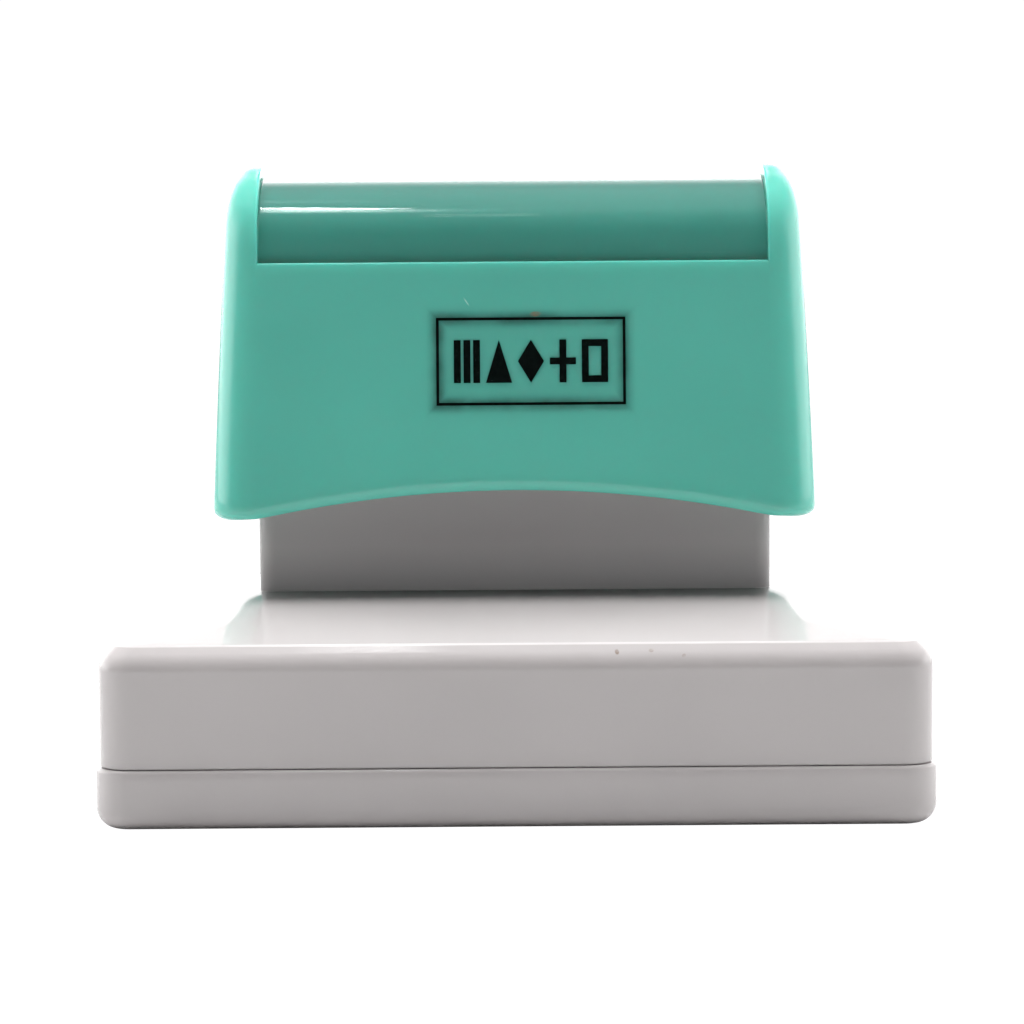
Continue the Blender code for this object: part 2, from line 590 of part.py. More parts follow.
def make_screws(parts, cutters, material):
    under_plate = PLUNGER_TOP_Z - PLUNGER_TOP_PLATE
    for side, name in ((-1, "left"), (1, "right")):
        sections = [
            (under_plate - 2.2, 2.2), (under_plate - 1.8, 2.8), (under_plate - 0.2, 2.8),
            (under_plate - 0.2, 1.45), (63.6, 1.45), (64.4, 0.8),
        ]
        make_screw(f"handle_screw_{name}", side * HANDLE_SCREW_X, 0, sections, under_plate - 2.2, 1.7,
                   parts, cutters, material)
    for index, (sign_x, sign_y) in enumerate(CORNERS, 1):
        sections = [(MOUNT_Z + 0.1, 2.3), (MOUNT_Z + 0.3, 2.3), (16.2, 1.05), (19.3, 1.05), (19.8, 0.6)]
        make_screw(f"mount_screw_{index}", sign_x * MOUNT_SCREW_X, sign_y * MOUNT_SCREW_Y, sections,
                   MOUNT_Z + 0.1, 1.4, parts, cutters, material)


def main():
    clear_scene()
    parts = new_collection("pre_inked_stamp")
    cutters = new_collection("cutters", hidden=True)
    grey = new_material("light_grey_abs", (0.72, 0.71, 0.71), 0.25)
    green = new_material("mint_green_abs", (0.10, 0.50, 0.40), 0.25)
    clear = new_material("clear_styrene", (0.85, 0.95, 0.93), 0.08, alpha=0.35)
    film = new_material("clear_label_film", (0.35, 0.60, 0.55), 0.30, alpha=0.5)
    inner = new_material("inner_grey_abs", (0.45, 0.46, 0.48), 0.45)
    steel = new_material("zinc_plated_steel", (0.62, 0.62, 0.60), 0.30, metallic=1.0)
    print_foam = new_material("microporous_foam", (0.78, 0.76, 0.74), 0.90)
    ink_foam = new_material("ink_soaked_foam", (0.05, 0.06, 0.12), 0.80)

    make_dust_cap(parts, cutters, grey)
    make_base_frame(parts, cutters, grey)
    for index, (sign_x, sign_y) in enumerate(CORNERS, 1):
        make_spring(f"return_spring_{index}", sign_x * SPRING_X, sign_y * SPRING_Y, parts, steel)
    make_handle_shell(parts, cutters, green)
    make_label_window(parts, cutters, clear)
    make_marking_film(parts, film)
    make_plunger(parts, cutters, inner)
    make_mount_plate(parts, cutters, inner)
    make_pad_tray(parts, cutters, inner)
    make_foam("print_foam", PRINT_FACE_Z, PRINT_FOAM_TOP_Z, parts, print_foam)
    make_foam("ink_foam", INK_FOAM_Z, INK_FOAM_TOP_Z, parts, ink_foam)
    make_screws(parts, cutters, steel)


main()
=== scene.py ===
"""The looks of a pre-inked hand stamp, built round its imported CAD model.

Fine shells with rounded edges replace the CAD's plain ones, and every piece gets a procedural material.
Sizes are in millimetres and come from the CAD model's boxes, with the small details named below. X runs
along the stamp's long side, -Y is its front and +Z is up.
"""

import math

import bmesh
import bpy
from mathutils import Matrix, Vector


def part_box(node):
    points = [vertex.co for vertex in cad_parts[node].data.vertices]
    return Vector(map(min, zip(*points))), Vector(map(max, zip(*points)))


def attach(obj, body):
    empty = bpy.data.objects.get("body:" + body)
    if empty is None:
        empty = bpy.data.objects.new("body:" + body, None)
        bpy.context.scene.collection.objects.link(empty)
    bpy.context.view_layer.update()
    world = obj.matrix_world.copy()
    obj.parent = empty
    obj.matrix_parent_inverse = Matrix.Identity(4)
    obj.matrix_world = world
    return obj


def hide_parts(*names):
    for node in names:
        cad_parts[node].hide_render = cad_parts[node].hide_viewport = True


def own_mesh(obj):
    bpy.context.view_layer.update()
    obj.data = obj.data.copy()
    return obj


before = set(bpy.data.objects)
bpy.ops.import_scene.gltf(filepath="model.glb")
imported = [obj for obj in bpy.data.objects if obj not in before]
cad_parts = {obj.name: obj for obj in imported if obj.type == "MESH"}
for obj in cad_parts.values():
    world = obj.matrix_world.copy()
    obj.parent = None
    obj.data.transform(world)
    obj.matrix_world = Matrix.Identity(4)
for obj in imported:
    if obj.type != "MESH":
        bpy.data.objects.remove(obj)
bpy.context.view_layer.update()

MM = 0.001
CORNER_STEPS = 12
SMOOTH_ANGLE = 40

# How far the extra rows beside a round stand off from it, to keep the shading of the flats flat
HOLD = 0.06


def box_mm(node):
    low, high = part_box(node)
    return low / MM, high / MM


# Places and sizes from the CAD model
CAP_HIGH = box_mm("dust_cap")[1]
FRAME_LOW, FRAME_HIGH = box_mm("base_frame")
HANDLE_LOW, HANDLE_HIGH = box_mm("handle_shell")
WINDOW_HIGH = box_mm("label_window")[1]
FILM_LOW, FILM_HIGH = box_mm("marking_film")
FOAM_LOW, FOAM_HIGH = box_mm("print_foam")

# Dust cap
CAP_CORNER = 3.6
CAP_FILLET = 2.2
CAP_WALL = 1.5
CAP_FLOOR = 1.2
CAP_LIP_ROUND = 0.35
CAP_INNER_FILLET = 0.8

# Frame: the body, the crowned top and the neck
BODY_CORNER = 3.4
SEAM_Z = CAP_HIGH.z + 0.06
SEAM_ROUND = 0.22
LIP_INSET = 1.5
LIP_WALL = 1.5
SHOULDER_Z, BODY_TOP_Z = 17.9, 19.5
EDGE_INSET = 1.65
LOWER_ROUND, UPPER_ROUND = 2.6, 0.4
CROWN_SLOPE = 13.0
CROWN_RISE = 3.35
CROWN_STEPS = 22
CROWN_EDGE_CORNER, CROWN_EXTRA_CORNER = 2.6, 5.5
CEILING_Z = 17.3
NECK_HALF_X, NECK_HALF_Y = 28.2, 10.2
NECK_CORNER = 1.8
NECK_WALL = 2.0

# Handle
DOME_Z = 60.0
HANDLE_CORNER = 4.4
HALF_DEPTH, FLARE = 12.1, 3.3
TAPER = 1.4
END_Z = 62.5
RIDGE_HALF_X = 27.9
ARCH_HALF_X = 29.1
ARCH_RISE, ARCH_FADE = 3.6, 11.0
RIM_FILLET = 1.2
HANDLE_WALL = 2.0
INNER_DOME_HALF, INNER_DOME_Z, INNER_TOP_Z = 8.9, 55.0, 65.4
INNER_HALF_X, INNER_CORNER, INNER_NARROWING = 29.6, 2.4, 0.88
LEDGE_Z = 59.0
RECESS_HALF_X = WINDOW_HIGH.x + 0.2
EDGE = 0.22
END_STEPS, END_SPANS = 12, 5

# Window
WINDOW_SIDE_INSET, WINDOW_TOP_INSET = 0.35, 1.2
WINDOW_THICKNESS = 0.5
WINDOW_GAP = 0.08
WINDOW_EDGE_ROUND = 0.15
RECESS_SIDE_INSET = WINDOW_SIDE_INSET + WINDOW_THICKNESS + WINDOW_GAP
RECESS_TOP_INSET = WINDOW_TOP_INSET + WINDOW_THICKNESS + WINDOW_GAP

# Print on the film
FILM_CENTRE = (FILM_LOW + FILM_HIGH) / 2
OUTLINE_HALF_X, OUTLINE_HALF_Z = 10.15, 4.6
OUTLINE_HALF_WIDTH = 0.15
FILM_CORNER = 0.6
FILM_UNDERSIDE, FILM_FACE, INK_FACE = 0.03, 0.09, 0.11
SIGN_HEIGHT, SIGN_WIDTH, SIGN_STROKE, SIGN_PITCH = 4.65, 2.85, 0.75, 3.48

# Painted highlight, a lighter line on the frame's upper edge: the heights where it starts and where it ends
PAINTED_HIGHLIGHT_START, PAINTED_HIGHLIGHT_END = (19.28, 19.34), (19.46, 19.52)

# Marks of wear: x and z, half sizes, turn in degrees, colour and strength
HANDLE_SPOTS = (
    (FILM_CENTRE.x + 0.5, FILM_CENTRE.z + 5.1, 0.75, 0.32, 4, (0.30, 0.20, 0.13), 0.75),
    (FILM_CENTRE.x - 7.0, FILM_CENTRE.z + 6.5, 0.62, 0.07, -56, (0.55, 0.85, 0.78), 0.8),
)
FRAME_SPOTS = (
    (10.6, 18.6, 0.26, 0.32, 20, (0.22, 0.14, 0.09), 0.7),
    (14.2, 18.7, 0.3, 0.2, 0, (0.24, 0.16, 0.11), 0.6),
    (17.6, 18.2, 0.25, 0.2, 30, (0.24, 0.16, 0.11), 0.5),
)

# Springs
SPRING_TURNS = 8
COIL_STEPS = 28
WIRE_RADIUS = 0.35
WIRE_SIDES = 8

# Print foam
FOAM_CORNER = 1.2
FOAM_FACE_ROUND, FOAM_BACK_ROUND = 0.7, 0.3

# Light: what the camera sees of the floor and the room, the floor's reflectance, and the radiance of
# the room's front, walls and roof
FLOOR_SEEN, ROOM_SEEN = 1.02, 1.03
FLOOR_ALBEDO = 0.7
ROOM_FRONT, ROOM_WALLS, ROOM_ROOF = 0.04, 2.8, 0.1
LAMP_TARGET = (0, 0, 0.04)

# Camera: place and lens in millimetres, tilt and roll in degrees
CAMERA_PLACE = (-0.28, -410.2, 68.96)
CAMERA_TILT = 5.356
CAMERA_ROLL = -0.42
CAMERA_LENS = 128.4


# Materials


class Nodes:
    """Builds a material's node tree. A link's source is a socket, or a node whose first output is used."""

    def __init__(self, name):
        self.material = bpy.data.materials.new(name)
        self.material.use_nodes = True
        self.tree = self.material.node_tree
        self.shader = self.tree.nodes["Principled BSDF"]
        self.output = self.tree.nodes["Material Output"]

    def add(self, kind, links=None, **settings):
        node = self.tree.nodes.new(kind)
        for key, value in settings.items():
            setattr(node, key, value)
        for socket, source in (links or {}).items():
            self.plug(node.inputs[socket], source)
        return node

    def plug(self, target, source):
        if isinstance(source, bpy.types.Node):
            source = source.outputs[0]
        if isinstance(source, bpy.types.NodeSocket):
            self.tree.links.new(source, target)
        else:
            target.default_value = source

    def set(self, **values):
        for key, value in values.items():
            self.plug(self.shader.inputs[key.replace("_", " ")], value)

    def noise(self, scale, detail=2.0, roughness=0.5, stretch=(1, 1, 1)):
        place = self.add("ShaderNodeTexCoord").outputs["Object"]
        stretched = self.add("ShaderNodeMapping", {"Vector": place, "Scale": stretch})
        links = {"Vector": stretched, "Scale": scale, "Detail": detail, "Roughness": roughness}
        return self.add("ShaderNodeTexNoise", links).outputs[0]

    def remap(self, value, low, high, to_low, to_high):
        links = {"Value": value, "From Min": low, "From Max": high, "To Min": to_low, "To Max": to_high}
        return self.add("ShaderNodeMapRange", links).outputs[0]

    def math(self, operation, a, b=0.0):
        return self.add("ShaderNodeMath", {0: a, 1: b}, operation=operation).outputs[0]

    def blend(self, factor, a, b, mode="MIX"):
        node = self.add("ShaderNodeMix", data_type="RGBA", blend_type=mode)
        self.plug(node.inputs[0], factor)
        self.plug(node.inputs[6], a)
        self.plug(node.inputs[7], b)
        return node.outputs[2]

    def specks(self, scale, radius, share):
        """1 inside small round specks that sit in a share of the cells of a fine grid, else 0."""
        place = self.add("ShaderNodeTexCoord").outputs["Object"]
        cells = self.add("ShaderNodeTexVoronoi", {"Vector": place, "Scale": scale})
        inside = self.remap(cells.outputs["Distance"], radius, radius * 0.5, 0.0, 1.0)
        pick = self.add("ShaderNodeSeparateColor", {"Color": cells.outputs["Color"]})
        chosen = self.math("LESS_THAN", pick.outputs[0], share)
        return self.math("MULTIPLY", inside, chosen)

    def bump(self, height, strength, distance):
        return self.add("ShaderNodeBump", {"Height": height, "Strength": strength, "Distance": distance})


def rgb(color):
    return (*color, 1.0)


def moulded_plastic(name, color, dirt, wear, roughness, subsurface=0.3, scatter=(1.0, 1.0, 1.0)):
    """Glossy moulded ABS: faint flow marks, a fine orange peel, a few specks of dust and the marks that wear
    adds, on the frame a painted highlight and painted shade too.
    """
    n = Nodes(name)
    cloud = n.remap(n.noise(45.0, detail=3.0), 0.3, 0.7, 0.0, 1.0)
    lighter = tuple(min(channel * 1.03, 1.0) for channel in color)
    darker = tuple(channel * 0.97 for channel in color)
    base = n.blend(cloud, rgb(darker), rgb(lighter))
    dust = n.math("MAXIMUM", n.specks(260.0, 0.035, 0.02), n.specks(520.0, 0.03, 0.008))
    # wear adds marks of wear, and on the frame also a painted highlight and painted shade
    base = wear(n, base)
    n.set(Base_Color=n.blend(n.math("MULTIPLY", dust, 0.6), base, rgb(dirt)))
    handled = n.remap(n.noise(110.0, detail=4.0), 0.35, 0.7, 0.0, 0.05)
    n.set(Roughness=n.math("ADD", n.math("ADD", handled, roughness), n.math("MULTIPLY", dust, 0.3)))
    peel = n.math("ADD", n.math("MULTIPLY", n.noise(160.0, detail=1.0), 0.8), n.noise(2600.0, detail=2.0))
    n.set(Normal=n.bump(peel, 0.1, 0.00004))
    n.set(IOR=1.5, Subsurface_Weight=subsurface, Subsurface_Radius=scatter, Subsurface_Scale=0.0022)
    return n.material


def clear_plastic():
    """Clear polished styrene with hairline scratches. Lamp light and scattered light pass straight
    through it, dimmed, as through a thin tinted sheet."""
    n = Nodes("clear_styrene")
    scratches = n.remap(n.noise(1400.0, detail=3.0, stretch=(0.02, 1.0, 1.0)), 0.62, 0.8, 0.0, 0.1)
    n.set(Base_Color=rgb((0.97, 1.0, 1.0)), Transmission_Weight=1.0, IOR=1.49)
    n.set(Roughness=n.math("ADD", scratches, 0.03))
    n.set(Normal=n.bump(n.noise(120.0, detail=1.0), 0.05, 0.00004))
    path = n.add("ShaderNodeLightPath")
    scattered = path.outputs["Is Diffuse Ray"]
    tint = n.blend(scattered, rgb((0.60, 0.62, 0.62)), rgb((0.78, 0.79, 0.79)))
    through = n.add("ShaderNodeBsdfTransparent", {"Color": tint})
    straight = n.math("MAXIMUM", path.outputs["Is Shadow Ray"], scattered)
    mixed = n.add("ShaderNodeMixShader", {0: straight, 1: n.shader, 2: through})
    n.plug(n.output.inputs["Surface"], mixed)
    return n.material


def label_film():
    """Clear self-adhesive film, all but unseen."""
    n = Nodes("label_film")
    n.set(Base_Color=rgb((0.10, 0.24, 0.21)), Alpha=0.008, Roughness=0.3, IOR=1.4, Specular_IOR_Level=0.0)
    return n.material


def seen_from_front(n):
    """The x, the z and the mask of what lies in front, in mm."""
    place = n.add("ShaderNodeSeparateXYZ", {0: n.add("ShaderNodeTexCoord").outputs["Object"]})
    x, z = (n.math("MULTIPLY", place.outputs[axis], 1 / MM) for axis in "XZ")
    return x, z, n.math("LESS_THAN", place.outputs["Y"], 0.0)


def spotted(n, color, spots):
    """Add small marks of wear on the front."""
    x, z, front = seen_from_front(n)
    broken = n.remap(n.noise(1500.0, detail=3.0), 0.35, 0.6, 0.3, 1.0)
    for spot_x, spot_z, half_x, half_z, turn, tint, strength in spots:
        along, across = math.cos(math.radians(turn)), math.sin(math.radians(turn))
        dx, dz = n.math("SUBTRACT", x, spot_x), n.math("SUBTRACT", z, spot_z)
        u = n.math("ADD", n.math("MULTIPLY", dx, along / half_x), n.math("MULTIPLY", dz, across / half_x))
        upright = n.math("MULTIPLY", dz, along / half_z)
        v = n.math("SUBTRACT", upright, n.math("MULTIPLY", dx, across / half_z))
        far = n.math("SQRT", n.math("ADD", n.math("MULTIPLY", u, u), n.math("MULTIPLY", v, v)))
        mask = n.math("MULTIPLY", n.remap(far, 0.6, 1.0, strength, 0.0), n.math("MULTIPLY", broken, front))
        color = n.blend(mask, color, rgb(tint))
    return color


def handle_wear(n, color):
    """A dark haze along the printed outline, a brown smudge and a scratch."""
    x, z, front = seen_from_front(n)
    x, z = n.math("SUBTRACT", x, FILM_CENTRE.x), n.math("SUBTRACT", z, FILM_CENTRE.z)
    over_x = n.math("SUBTRACT", n.math("ABSOLUTE", x), OUTLINE_HALF_X)
    over_z = n.math("SUBTRACT", n.math("ABSOLUTE", z), OUTLINE_HALF_Z)
    over = n.math("MAXIMUM", over_x, over_z)
    fade = n.math("EXPONENT", n.math("MULTIPLY", n.math("MULTIPLY", over, over), -1.8))
    leftward = n.remap(x, -OUTLINE_HALF_X, OUTLINE_HALF_X, 1.0, 0.6)
    patches = n.math("MULTIPLY", n.remap(n.noise(260.0, detail=4.0), 0.35, 0.65, 0.55, 1.0), leftward)
    within = n.remap(over, -0.6, 0.0, 0.06, 0.0)
    haze = n.math("ADD", n.math("MULTIPLY", n.math("MULTIPLY", fade, patches), 0.85), within)
    color = n.blend(n.math("MULTIPLY", haze, front), color, rgb((0.02, 0.035, 0.03)))
    return spotted(n, color, HANDLE_SPOTS)


def frame_specks_and_painted_light(n, color):
    """A painted highlight along the body's upper edge, a few brown specks below it, and painted shade on the
    neck.
    """
    z = seen_from_front(n)[1]
    # Painted highlight: a lighter band along the body's upper edge
    painted_highlight = n.math("MULTIPLY", n.remap(z, *PAINTED_HIGHLIGHT_START, 0.0, 0.5), n.remap(z, *PAINTED_HIGHLIGHT_END, 1.0, 0.0))
    color = n.blend(painted_highlight, color, rgb((0.90, 0.87, 0.87)))
    # Painted shade: the neck darkened, most at its foot and less higher up under the handle
    neck = BODY_TOP_Z + CROWN_RISE
    painted_neck_shade = n.math("MULTIPLY", n.remap(z, neck, neck + 0.1, 0.0, 1.0), n.remap(z, neck, neck + 5.0, 0.46, 0.2))
    color = n.blend(painted_neck_shade, color, rgb((0.06, 0.05, 0.05)))
    return spotted(n, color, FRAME_SPOTS)


def print_ink():
    n = Nodes("print_ink")
    wear = n.remap(n.noise(2200.0, detail=3.0), 0.35, 0.75, 0.0, 1.0)
    n.set(Base_Color=n.blend(wear, rgb((0.001, 0.002, 0.002)), rgb((0.004, 0.007, 0.006))))
    n.set(Roughness=n.remap(wear, 0.0, 1.0, 0.5, 0.65), Normal=n.bump(wear, 0.1, 0.00001))
    n.set(Specular_IOR_Level=0.03)
    return n.material


def inner_plastic():
    n = Nodes("inner_grey_abs")
    cloud = n.remap(n.noise(60.0, detail=3.0), 0.3, 0.7, 0.0, 1.0)
    n.set(Base_Color=n.blend(cloud, rgb((0.30, 0.31, 0.33)), rgb((0.37, 0.38, 0.40))))
    n.set(Roughness=n.remap(n.noise(700.0), 0.3, 0.7, 0.42, 0.55))
    n.set(Normal=n.bump(n.noise(1800.0, detail=3.0), 0.25, 0.00003), IOR=1.5)
    return n.material


def zinc_steel():
    n = Nodes("zinc_steel")
    brushed = n.noise(1500.0, detail=3.0, stretch=(0.1, 0.1, 1.0))
    n.set(Base_Color=n.blend(brushed, rgb((0.52, 0.52, 0.50)), rgb((0.72, 0.72, 0.70))))
    n.set(Metallic=1.0, Roughness=n.remap(brushed, 0.3, 0.7, 0.22, 0.42))
    n.set(Normal=n.bump(brushed, 0.15, 0.00002))
    return n.material


def foam(name, color, soaked, pores):
    """Open-cell foam: fine pores, and a cloudy change of colour where the ink has soaked in."""
    n = Nodes(name)
    stain = n.remap(n.noise(70.0, detail=4.0), 0.35, 0.68, 0.0, 1.0)
    holes = n.noise(pores, detail=4.0, roughness=0.7)
    dark = n.remap(holes, 0.3, 0.5, 0.35, 0.0)
    n.set(Base_Color=n.blend(dark, n.blend(stain, rgb(color), rgb(soaked)), rgb(soaked), "MULTIPLY"))
    n.set(Roughness=n.remap(stain, 0.0, 1.0, 0.92, 0.7), Normal=n.bump(holes, 0.6, 0.00012))
    n.set(Sheen_Weight=0.2)
    return n.material


# Shape helpers, in millimetres


def ring(half_x, half_y, radius, z):
    """A rounded rectangle seen from above."""
    points = []
    for quarter in range(4):
        centre_x = (half_x - radius) * (1 if quarter in (0, 3) else -1)
        centre_y = (half_y - radius) * (1 if quarter < 2 else -1)
        for step in range(CORNER_STEPS + 1):
            angle = math.radians(90 * (quarter + step / CORNER_STEPS))
            points.append((centre_x + radius * math.cos(angle), centre_y + radius * math.sin(angle), z))
    return points


def skin(rows, closed=False, capped=True):
    """A mesh through closed rows with equal counts of points. Points in one place become one."""
    bm = bmesh.new()
    made = [[bm.verts.new(Vector(point) * MM) for point in points] for points in rows]
    followers = made[1:] + (made[:1] if closed else [])
    for row, following in zip(made, followers):
        for i in range(len(row)):
            j = (i + 1) % len(row)
            bm.faces.new((row[i], row[j], following[j], following[i]))
    if not closed and capped:
        bm.faces.new(made[0])
        bm.faces.new(made[-1])
    bmesh.ops.remove_doubles(bm, verts=bm.verts, dist=0.002 * MM)
    return bm


def piece(bm, name, body, material, replaced=None):
    """Ends a mesh as a named piece that rides on a CAD body."""
    bmesh.ops.recalc_face_normals(bm, faces=bm.faces)
    mesh = bpy.data.meshes.new(name)
    bm.to_mesh(mesh)
    bm.free()
    mesh.shade_smooth()
    mesh.set_sharp_from_angle(angle=math.radians(SMOOTH_ANGLE))
    mesh.materials.append(material)
    obj = bpy.data.objects.new(name, mesh)
    bpy.context.scene.collection.objects.link(obj)
    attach(obj, body)
    if replaced:
        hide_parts(replaced)
    return obj


def arc(start, end, steps):
    """Angles in radians from start to end degrees, both ends included."""
    return [math.radians(start + (end - start) * i / steps) for i in range(steps + 1)]


# Dust cap


def make_dust_cap(material):
    """The cap's tray: up its outside, over its lip and down its inside."""
    half_x, half_y, top = CAP_HIGH.x, CAP_HIGH.y, CAP_HIGH.z
    rows = []
    for angle in arc(0, 90, 10):
        inset, z = CAP_FILLET * (1 - math.sin(angle)), CAP_FILLET * (1 - math.cos(angle))
        rows.append(ring(half_x - inset, half_y - inset, CAP_CORNER - inset, z))
    for angle in arc(0, 90, 4):
        inset = CAP_LIP_ROUND * (1 - math.cos(angle))
        z = top - CAP_LIP_ROUND * (1 - math.sin(angle))
        rows.append(ring(half_x - inset, half_y - inset, CAP_CORNER - inset, z))
    inner_x, inner_y, corner = half_x - CAP_WALL, half_y - CAP_WALL, CAP_CORNER - CAP_WALL
    for inset, drop in ((-0.2, 0.0), (-0.06, 0.06), (0.0, 0.2)):
        rows.append(ring(inner_x - inset, inner_y - inset, corner - inset, top - drop))
    for angle in arc(0, 90, 5):
        inset = CAP_INNER_FILLET * (1 - math.cos(angle))
        z = CAP_FLOOR + CAP_INNER_FILLET * (1 - math.sin(angle))
        rows.append(ring(inner_x - inset, inner_y - inset, corner - inset, z))
    piece(skin(rows), "cap_shell", "cap", material, "dust_cap")


# Frame


def rounded_corner(point, start, end, radius, steps):
    """An outline's corner with a round of that radius, and a holding point on each side of it. The line
    comes in at angle start and leaves at a smaller angle end, in degrees. A point is (inset, z)."""
    reach = radius * math.tan(math.radians(start - end) / 2)
    first = math.radians(start)
    centre_inset = point[0] - reach * math.cos(first) + radius * math.sin(first)
    centre_z = point[1] - reach * math.sin(first) - radius * math.cos(first)
    points = [
        (centre_inset - radius * math.sin(angle), centre_z + radius * math.cos(angle))
        for angle in arc(start, end, steps)
    ]
    last = math.radians(end)
    before = (points[0][0] - HOLD * math.cos(first), points[0][1] - HOLD * math.sin(first))
    after = (points[-1][0] + HOLD * math.cos(last), points[-1][1] + HOLD * math.sin(last))
    return [before] + points + [after]


def edge_rows(half_x, half_y):
    """The body's upper edge: a sloping band with a wide round below it and a crisp one above."""
    slope = math.degrees(math.atan2(BODY_TOP_Z - SHOULDER_Z, EDGE_INSET))
    points = rounded_corner((0.0, SHOULDER_Z), 90.0, slope, LOWER_ROUND, 8)
    points += rounded_corner((EDGE_INSET, BODY_TOP_Z), slope, CROWN_SLOPE, UPPER_ROUND, 5)
    return [ring(half_x - i, half_y - i, BODY_CORNER - i * 0.45, z) for i, z in points], points[-1]


def frame_rows():
    """The frame's section, from its lip up the outside, over the crown, and down inside the neck."""
    half_x, half_y = FRAME_HIGH.x, FRAME_HIGH.y
    lip_x, lip_y, lip_z = half_x - LIP_INSET, half_y - LIP_INSET, FRAME_LOW.z
    rows = [
        ring(lip_x - 0.3, lip_y - 0.3, 1.4, lip_z),
        ring(lip_x, lip_y, 1.7, lip_z + 0.3),
        ring(lip_x, lip_y, 1.7, SEAM_Z),
    ]
    for angle in arc(0, 90, 4):
        inset, z = SEAM_ROUND * (1 - math.sin(angle)), SEAM_Z + SEAM_ROUND * (1 - math.cos(angle))
        rows.append(ring(half_x - inset, half_y - inset, BODY_CORNER - inset, z))
    edge, (edge_inset, edge_z) = edge_rows(half_x, half_y)
    rows += edge
    start_x, start_y = half_x - edge_inset, half_y - edge_inset
    rise = BODY_TOP_Z + CROWN_RISE - edge_z
    for i in range(1, CROWN_STEPS + 1):
        share = i / CROWN_STEPS
        x = start_x + (NECK_HALF_X - start_x) * share
        y = start_y + (NECK_HALF_Y - start_y) * share
        corner = CROWN_EDGE_CORNER * (1 - share) + NECK_CORNER * share
        corner += CROWN_EXTRA_CORNER * math.sin(math.pi * share) ** 0.8
        rows.append(ring(x, y, corner, edge_z + rise * (1 - (1 - share) ** 1.22)))
    neck_x, neck_y, top = NECK_HALF_X, NECK_HALF_Y, FRAME_HIGH.z
    rows += [
        ring(neck_x, neck_y, NECK_CORNER, top - 0.4),
        ring(neck_x - 0.12, neck_y - 0.12, NECK_CORNER - 0.1, top - 0.12),
        ring(neck_x - 0.4, neck_y - 0.4, NECK_CORNER - 0.4, top),
        ring(neck_x - NECK_WALL, neck_y - NECK_WALL, 0.8, top),
        ring(neck_x - NECK_WALL, neck_y - NECK_WALL, 0.8, CEILING_Z + CROWN_RISE),
    ]
    inner_x, inner_y = lip_x - LIP_WALL, lip_y - LIP_WALL
    rows.append(ring(inner_x, inner_y, 1.0, CEILING_Z))
    rows.append(ring(inner_x, inner_y, 1.0, lip_z))
    return rows


def make_frame(material):
    bm = skin(frame_rows(), closed=True)
    piece(bm, "frame_shell", "frame", material, "base_frame")


# Handle


def half_depth(z):
    """Half of the handle's depth below its rounded top."""
    return HALF_DEPTH + FLARE * max((DOME_Z - z) / (DOME_Z - HANDLE_LOW.z), 0.0) ** 1.25


def half_length(z):
    """Half of the handle's length: a slight taper, then the rounded ends."""
    widest = HANDLE_HIGH.x
    if z < END_Z:
        return widest - TAPER * (max(z - HANDLE_LOW.z, 0.0) / (END_Z - HANDLE_LOW.z)) ** 1.2
    share = min((z - END_Z) / (HANDLE_HIGH.z - END_Z), 1.0)
    return RIDGE_HALF_X + (widest - TAPER - RIDGE_HALF_X) * (1 - share**2) ** (1 / 3)


def arch(x, z):
    """How far the arch of the long lower edges lifts a point."""
    fade = max(1 - (z - HANDLE_LOW.z) / ARCH_FADE, 0.0)
    return ARCH_RISE * fade * max(1 - (x / ARCH_HALF_X) ** 2, 0.0)


def dome_point(angle, half, base_z, top_z):
    """A point (half depth, z) on a rounded top, from its side at 0 to its ridge at a right angle."""
    return half * math.cos(angle), base_z + (top_z - base_z) * math.sin(angle) ** (2 / 2.2)


def end_curve(start_x, end_x, depth, corner, z):
    """The points from the recess's end to the handle's end, round its vertical corner."""
    points = []
    for i in range(1, END_STEPS + 1):
        x = start_x + (end_x - start_x) * math.sin(math.radians(90 * i / END_STEPS))
        past = max(x - (end_x - corner), 0.0)
        points.append((x, depth - corner + math.sqrt(max(corner**2 - past**2, 0.0)), z))
    return points


def whole_row(quarter):
    """A closed row from its right back quarter, lifted by the arch."""
    end_x, half, end_z = quarter[-1]
    end = [(end_x, half * (1 - 2 * i / END_SPANS), end_z) for i in range(1, END_SPANS)]
    right = quarter + end + [(x, -y, z) for x, y, z in reversed(quarter)]
    points = right + [(-x, y, z) for x, y, z in reversed(right)]
    return [(x, y, z + arch(x, z)) for x, y, z in points]


def handle_row(outer, floor, round_share, columns):
    """One row round the handle. outer and floor are (half depth, z) of the full section and of the
    recess at this height. round_share is 1 where the recess's end walls stand."""
    (outer_y, outer_z), (floor_y, floor_z) = outer, floor
    end_x = max(half_length(outer_z), RECESS_HALF_X + EDGE + 0.02)
    corner = max(min(HANDLE_CORNER, outer_y * 0.8), 0.0)
    quarter = [(x, floor_y, floor_z) for x in columns] + [(RECESS_HALF_X, floor_y, floor_z)]
    for inset, drop in ((0.0, EDGE), (EDGE * 0.3, EDGE * 0.3), (EDGE, 0.0)):
        deep = drop * round_share
        quarter.append((RECESS_HALF_X + inset, max(outer_y - deep, 0.0), outer_z - deep * (outer_y < corner)))
    quarter += end_curve(RECESS_HALF_X + EDGE, end_x, outer_y, corner, outer_z)
    return whole_row(quarter)


def inner_row(point, columns):
    """A row of the handle's inside, on the same columns as the outside."""
    depth, z = point
    narrow = INNER_NARROWING
    end_x = min(half_length(z) - HANDLE_WALL, INNER_HALF_X)
    corner = min(INNER_CORNER, depth * 0.8)
    quarter = [(x * narrow, depth, z) for x in columns] + [(RECESS_HALF_X * narrow, depth, z)]
    quarter += [((RECESS_HALF_X + inset) * narrow, depth, z) for inset in (0.0, EDGE * 0.3, EDGE)]
    quarter += end_curve(quarter[-1][0], end_x, depth, corner, z)
    return whole_row(quarter)


